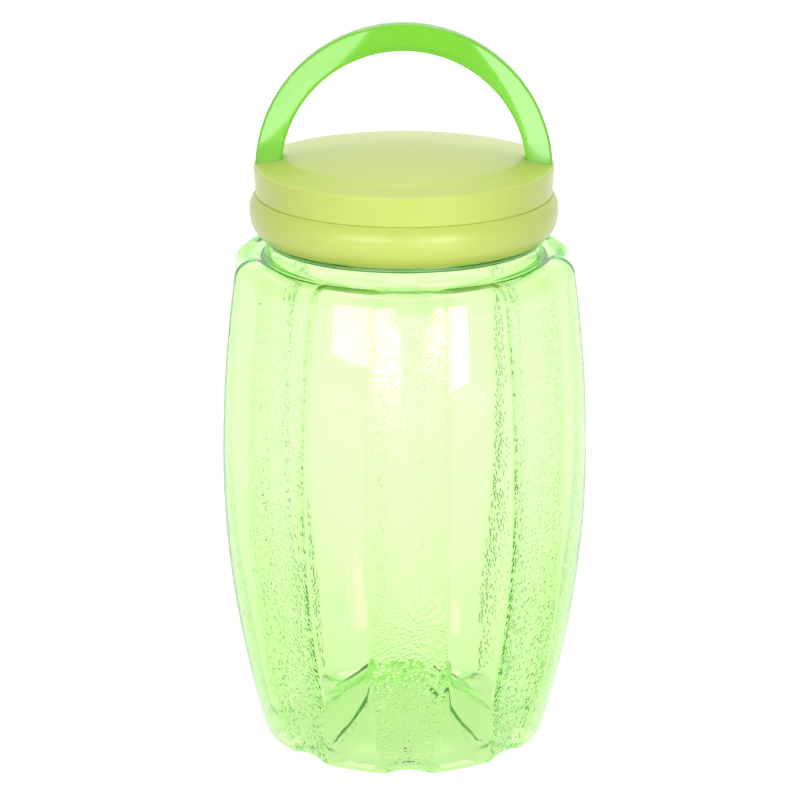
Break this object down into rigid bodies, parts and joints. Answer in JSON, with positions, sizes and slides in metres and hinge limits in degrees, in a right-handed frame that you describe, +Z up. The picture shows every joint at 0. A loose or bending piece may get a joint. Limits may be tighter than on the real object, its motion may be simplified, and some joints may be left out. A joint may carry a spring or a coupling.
{
  "type": "storage jar",
  "caption": "Wide-mouth translucent plastic storage jar with recessed strips down a barrel body, a bulged screw cap with a domed top and an arched carrying handle.",
  "frame": {"origin": "centre of the standing ring under the base, on the surface that the jar stands on", "axes": "+Z up along the jar's axis, a recessed strip facing -Y, the handle's arch along X"},
  "size_m": [0.1414, 0.1414, 0.2837],
  "materials": {
    "jar_pet": "clear, glossy, tinted pale green",
    "liner_foam": "matte foam",
    "cap_pp": "satin",
    "handle_pp": "glossy, slightly see-through"
  },
  "bodies": {
    "jar": {"jar_body": "jar_pet"},
    "liner": {"cap_liner": "liner_foam"},
    "cap": {"screw_cap": "cap_pp", "cap_cover": "cap_pp", "carry_handle": "handle_pp"}
  },
  "joints": [
    {"name": "cap_lift", "type": "slide", "parent": "jar", "child": "liner", "axis": [0, 0, 1], "range_m": [0, 0.0181]},
    {"name": "cap_turn", "type": "hinge", "parent": "liner", "child": "cap", "pos_m": [0, 0, 0.2106], "axis": [0, 0, 1], "range_deg": [0, 360]}
  ],
  "couplings": [
    {"joint": "cap_lift", "follows": "cap_turn", "m_per_rad": 0.0028648}
  ]
}
